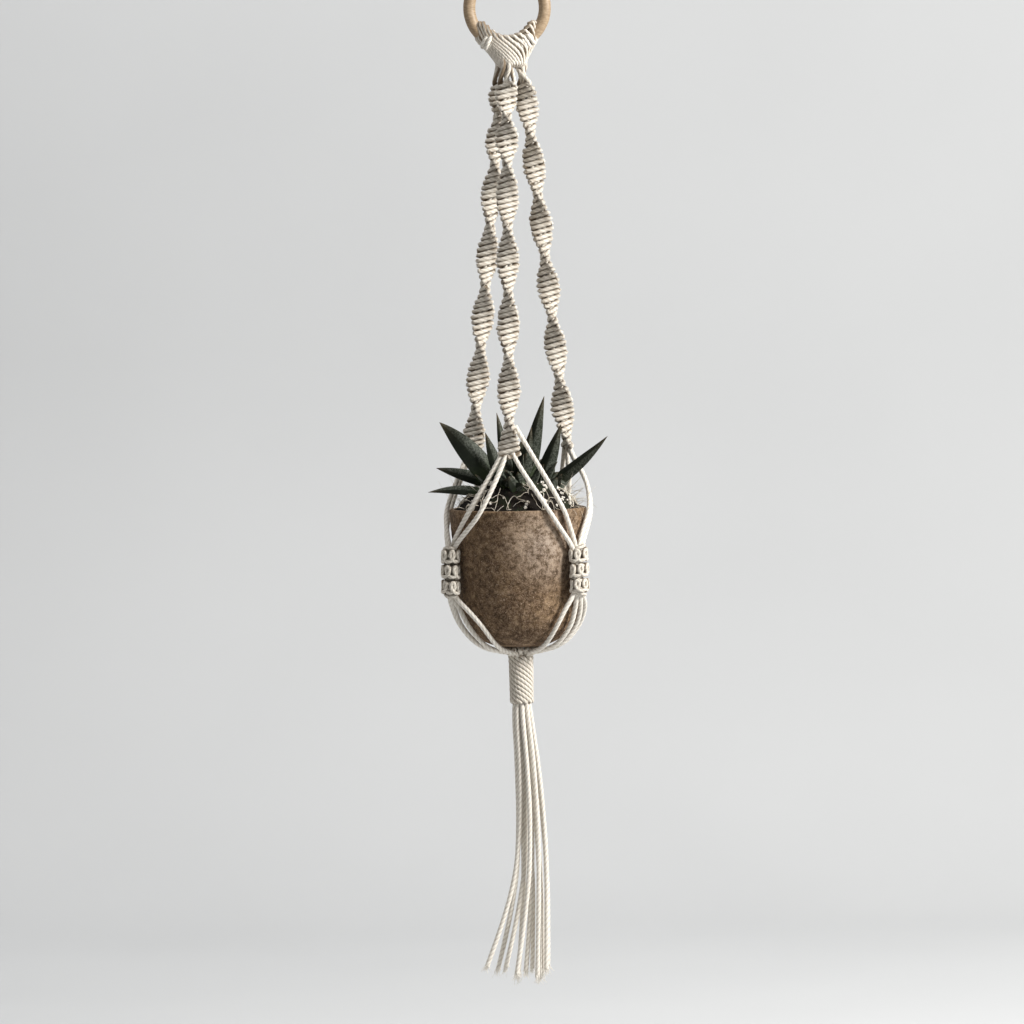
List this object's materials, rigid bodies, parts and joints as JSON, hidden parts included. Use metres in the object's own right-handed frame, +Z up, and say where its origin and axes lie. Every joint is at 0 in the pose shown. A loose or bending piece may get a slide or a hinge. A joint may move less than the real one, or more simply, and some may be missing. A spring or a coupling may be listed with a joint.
{
  "type": "hanging macrame planter",
  "caption": "Knotted cotton plant hanger on a wooden ring, cradling a round-bottomed clay pot with a leafy plant, ending in a loose tassel.",
  "frame": {"origin": "hook seat: the highest point of the ring's inner edge, where a hook carries the hanger", "axes": "+Z up along the hanging line, +X to the right and -Y towards the viewer; the ring's own axis is Y"},
  "size_m": [0.1484, 0.1233, 0.8382],
  "materials": {
    "ring_wood": "satin",
    "cotton_cord": "matte",
    "wrap_cord": "matte",
    "terracotta": "matte",
    "soil": "matte",
    "leaf": "satin"
  },
  "bodies": {
    "ring": {"hanging_ring": "ring_wood"},
    "hanger": {"ring_loops": "cotton_cord", "collar_wrap": "wrap_cord", "arm_sinnet_front": "cotton_cord", "arm_sinnet_right": "cotton_cord", "arm_sinnet_left": "cotton_cord", "side_knot_left": "cotton_cord", "side_knot_right": "cotton_cord", "side_knot_back": "cotton_cord", "gathered_core": "cotton_cord", "base_wrap": "wrap_cord", "upper_cord_front_1": "cotton_cord", "upper_cord_front_2": "cotton_cord", "upper_cord_front_3": "cotton_cord", "upper_cord_front_4": "cotton_cord", "upper_cord_right_1": "cotton_cord", "upper_cord_right_2": "cotton_cord", "upper_cord_right_3": "cotton_cord", "upper_cord_right_4": "cotton_cord", "upper_cord_left_1": "cotton_cord", "upper_cord_left_2": "cotton_cord", "upper_cord_left_3": "cotton_cord", "upper_cord_left_4": "cotton_cord", "lower_cord_left_1": "cotton_cord", "lower_cord_left_2": "cotton_cord", "lower_cord_left_3": "cotton_cord", "lower_cord_left_4": "cotton_cord", "lower_cord_right_1": "cotton_cord", "lower_cord_right_2": "cotton_cord", "lower_cord_right_3": "cotton_cord", "lower_cord_right_4": "cotton_cord", "lower_cord_back_1": "cotton_cord", "lower_cord_back_2": "cotton_cord", "lower_cord_back_3": "cotton_cord", "lower_cord_back_4": "cotton_cord"},
    "pot": {"pot": "terracotta", "potting_soil": "soil", "leaf_left_broad": "leaf", "leaf_left_middle": "leaf", "leaf_left_low": "leaf", "leaf_upper_left": "leaf", "leaf_front_left": "leaf", "leaf_tall": "leaf", "leaf_front_right": "leaf", "leaf_upper_right": "leaf", "leaf_right_long": "leaf", "leaf_back": "leaf"},
    "tassel": {"tassel_head": "cotton_cord", "tassel_cord_01": "cotton_cord", "tassel_cord_02": "cotton_cord", "tassel_cord_03": "cotton_cord", "tassel_cord_04": "cotton_cord", "tassel_cord_05": "cotton_cord", "tassel_cord_06": "cotton_cord", "tassel_cord_07": "cotton_cord", "tassel_cord_08": "cotton_cord", "tassel_cord_09": "cotton_cord", "tassel_cord_10": "cotton_cord", "tassel_cord_11": "cotton_cord", "tassel_cord_12": "cotton_cord"}
  },
  "joints": [
    {"name": "hanger_swing", "type": "hinge", "parent": "ring", "child": "hanger", "pos_m": [0, 0, -0.026], "axis": [0, 1, 0], "range_deg": [-25, 25]},
    {"name": "pot_turn", "type": "hinge", "parent": "hanger", "child": "pot", "pos_m": [0, 0, -0.437], "axis": [0, 0, 1], "range_deg": [-12, 12]},
    {"name": "tassel_sway", "type": "hinge", "parent": "hanger", "child": "tassel", "pos_m": [0, 0, -0.598], "axis": [0, 1, 0], "range_deg": [-20, 20]}
  ]
}
